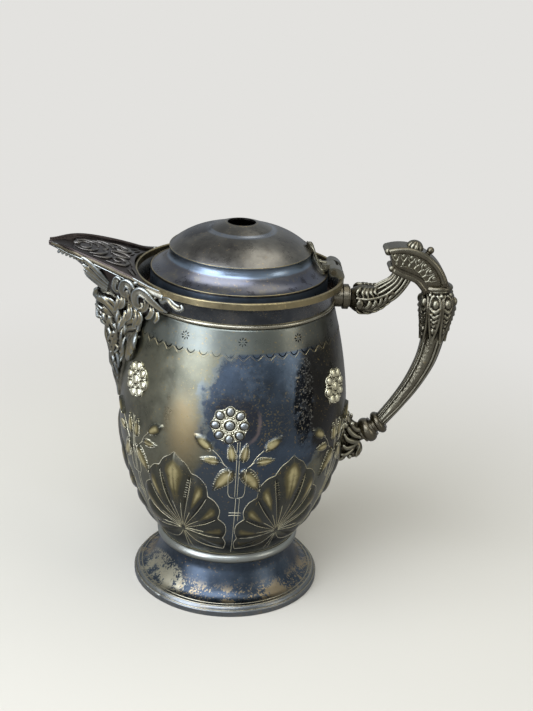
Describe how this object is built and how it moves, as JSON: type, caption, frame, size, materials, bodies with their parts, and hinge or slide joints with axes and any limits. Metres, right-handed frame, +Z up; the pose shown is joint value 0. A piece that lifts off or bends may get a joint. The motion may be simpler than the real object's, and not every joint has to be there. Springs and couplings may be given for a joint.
{
  "type": "ice water pitcher",
  "caption": "Footed double-walled ice water pitcher in silver-plated metal, with a hinged lid, a masked beak spout, soldered rosettes and a cast handle.",
  "frame": {"origin": "centre of the foot, on the surface that the pitcher stands on", "axes": "+Z up, +X from the spout to the handle, +Y to the back seen with the spout on the left"},
  "size_m": [0.2706, 0.1606, 0.2586],
  "materials": {
    "tarnished_plate": "tarnished silver plate",
    "cast_white_metal": "cast white metal with dark plate",
    "inner_metal": "dull sheet, unpolished",
    "worn_brass": "plate worn to the base metal",
    "gilt_casting": "pale gilt casting"
  },
  "bodies": {
    "pitcher": {"base_plate": "inner_metal", "collar": "tarnished_plate", "foot_flare": "tarnished_plate", "foot_ring": "tarnished_plate", "handle_beads": "cast_white_metal", "handle_capital": "cast_white_metal", "handle_crest": "cast_white_metal", "handle_crest_cap": "cast_white_metal", "handle_crest_dome": "cast_white_metal", "handle_crest_knob": "cast_white_metal", "handle_crest_sole": "cast_white_metal", "handle_lower_mount": "cast_white_metal", "handle_shaft": "cast_white_metal", "handle_slab": "cast_white_metal", "handle_socket": "cast_white_metal", "handle_upper_arm": "cast_white_metal", "hinge_bracket": "cast_white_metal", "hinge_pin": "cast_white_metal", "inner_liner": "inner_metal", "lid_seat": "inner_metal", "mask_beard": "cast_white_metal", "neck_bead": "tarnished_plate", "outer_jacket": "tarnished_plate", "pouring_sleeve": "inner_metal", "rim_band": "worn_brass", "rosette_back": "gilt_casting", "rosette_back_left": "gilt_casting", "rosette_back_right": "gilt_casting", "rosette_front": "gilt_casting", "rosette_front_left": "gilt_casting", "rosette_front_right": "gilt_casting", "spout_cover": "cast_white_metal", "spout_mask": "cast_white_metal", "spout_scroll_left": "cast_white_metal", "spout_scroll_right": "cast_white_metal", "spout_trough": "cast_white_metal", "waist_bead": "tarnished_plate"},
    "lid": {"hinge_leaf": "cast_white_metal", "lid_flange": "tarnished_plate", "lid_pan": "inner_metal", "lid_shell": "tarnished_plate"}
  },
  "joints": [
    {"name": "lid_hinge", "type": "hinge", "parent": "pitcher", "child": "lid", "pos_m": [0.0609, 0, 0.2306], "axis": [0, 1, 0], "range_deg": [0, 95]}
  ]
}
